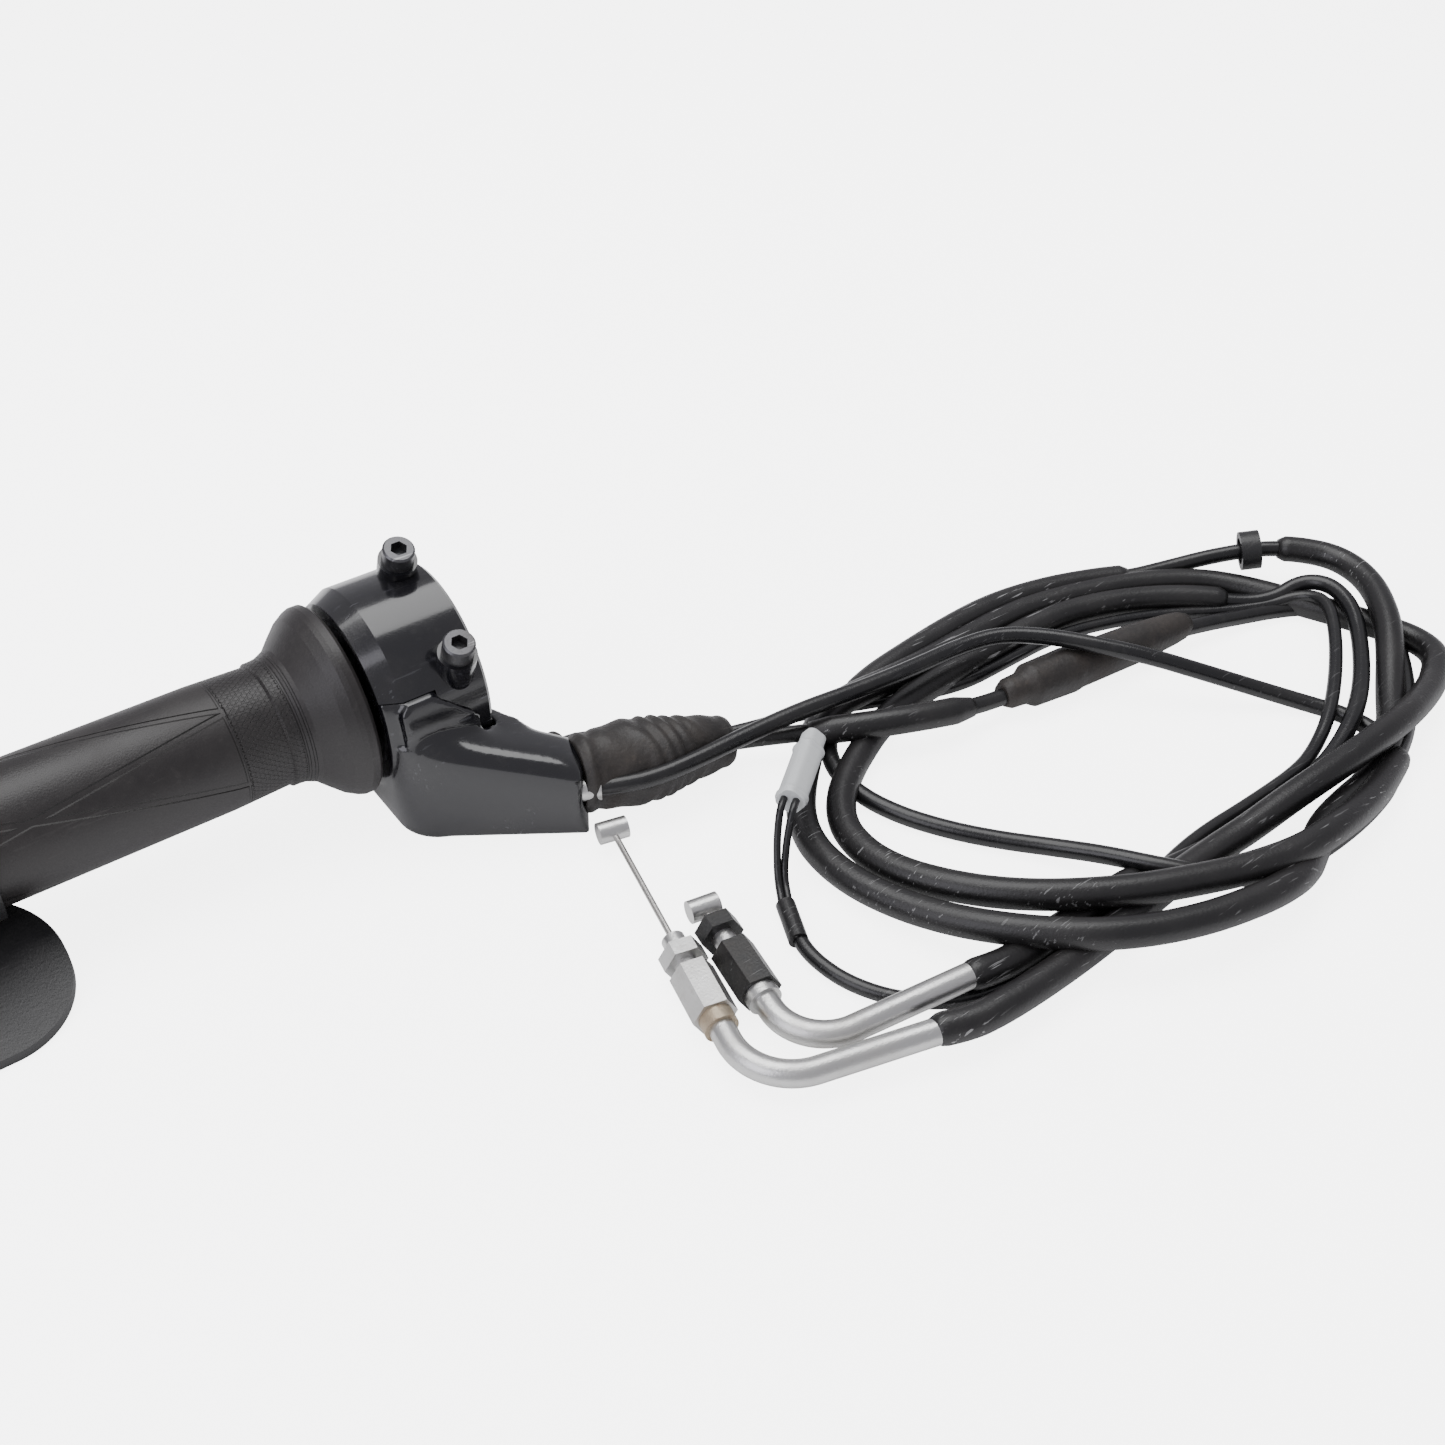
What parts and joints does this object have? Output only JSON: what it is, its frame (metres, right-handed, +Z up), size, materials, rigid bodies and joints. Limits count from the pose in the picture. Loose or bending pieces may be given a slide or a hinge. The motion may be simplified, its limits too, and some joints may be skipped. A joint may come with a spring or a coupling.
{
  "type": "throttle grip",
  "caption": "Twist-grip throttle for a motorcycle handlebar: rubber grip, clamped black housing, coiled control cables with elbow ends and a switch lead.",
  "frame": {"origin": "centre of the handlebar clamp bore", "axes": "+X along the handlebar towards the middle of the machine, +Z up away from the surface that the part lies on, +Y away from the cable neck"},
  "size_m": [0.4331, 0.2164, 0.0702],
  "materials": {
    "gloss_black": "gloss black enamel over cast aluminium, lightly scratched",
    "black_plastic": "moulded black nylon",
    "grip_rubber": "satin black rubber, worn smooth",
    "dusty_rubber": "soft black rubber, dusty brown",
    "sleeve_rubber": "satin black sleeve with pale rub marks",
    "cable_sheath": "smooth black extruded sheath",
    "pale_plastic": "yellowed light grey moulding",
    "zinc_steel": "zinc plated steel, dulled",
    "wire_steel": "stranded steel wire",
    "black_steel": "black oxide steel",
    "rusty_steel": "rust browned steel"
  },
  "bodies": {
    "housing": {"housing_body": "gloss_black", "housing_cap": "gloss_black", "case_cover": "gloss_black", "cover_screws": "black_steel", "clamp_bolts": "zinc_steel", "pull_inner_wire": "wire_steel", "return_inner_wire": "wire_steel", "pull_ferrule": "zinc_steel", "return_stop": "zinc_steel", "cable_boot": "dusty_rubber", "pull_cable": "cable_sheath", "pull_cable_crossing": "cable_sheath", "pull_end_sleeve": "sleeve_rubber", "return_cable": "cable_sheath", "return_short_sleeve": "sleeve_rubber", "return_end_sleeve": "sleeve_rubber", "adjuster_cover": "dusty_rubber", "inline_adjuster": "zinc_steel", "cable_clip": "black_plastic", "cable_coil": "sleeve_rubber", "lead_grommet": "dusty_rubber", "switch_lead": "cable_sheath", "switch_lead_tail": "cable_sheath", "lead_sheath": "sleeve_rubber", "connector_wire_1": "cable_sheath", "connector_wire_2": "cable_sheath", "connector_housing": "pale_plastic", "pull_thread": "zinc_steel", "pull_lock_nut": "zinc_steel", "pull_adjuster_hex": "zinc_steel", "pull_collar": "rusty_steel", "pull_elbow_pipe": "zinc_steel", "return_thread": "zinc_steel", "return_lock_nut": "black_steel", "return_adjuster_hex": "black_steel", "return_collar": "zinc_steel", "return_elbow_pipe": "zinc_steel"},
    "throttle": {"throttle_tube": "black_plastic", "grip_rubber": "grip_rubber", "thrust_washer": "black_plastic", "palm_rest": "black_plastic", "pull_drum_nipple": "zinc_steel", "return_drum_nipple": "zinc_steel", "pull_drum_wire": "wire_steel", "return_drum_wire": "wire_steel"},
    "pull_wire": {"pull_end_wire": "wire_steel", "pull_end_nipple": "zinc_steel"},
    "return_wire": {"return_end_wire": "wire_steel", "return_end_nipple": "zinc_steel"}
  },
  "joints": [
    {"name": "throttle_turn", "type": "hinge", "parent": "housing", "child": "throttle", "pos_m": [0, 0, 0], "axis": [-1, 0, 0], "range_deg": [0, 72]},
    {"name": "pull_wire_slide", "type": "slide", "parent": "housing", "child": "pull_wire", "axis": [-0.2202, -0.9755, 0], "range_m": [0, 0.0236]},
    {"name": "return_wire_slide", "type": "slide", "parent": "housing", "child": "return_wire", "axis": [0.1712, 0.9852, 0], "range_m": [0, 0.0236]}
  ],
  "couplings": [
    {"joint": "pull_wire_slide", "follows": "throttle_turn", "m_per_rad": 0.0185},
    {"joint": "return_wire_slide", "follows": "throttle_turn", "m_per_rad": 0.0185}
  ]
}
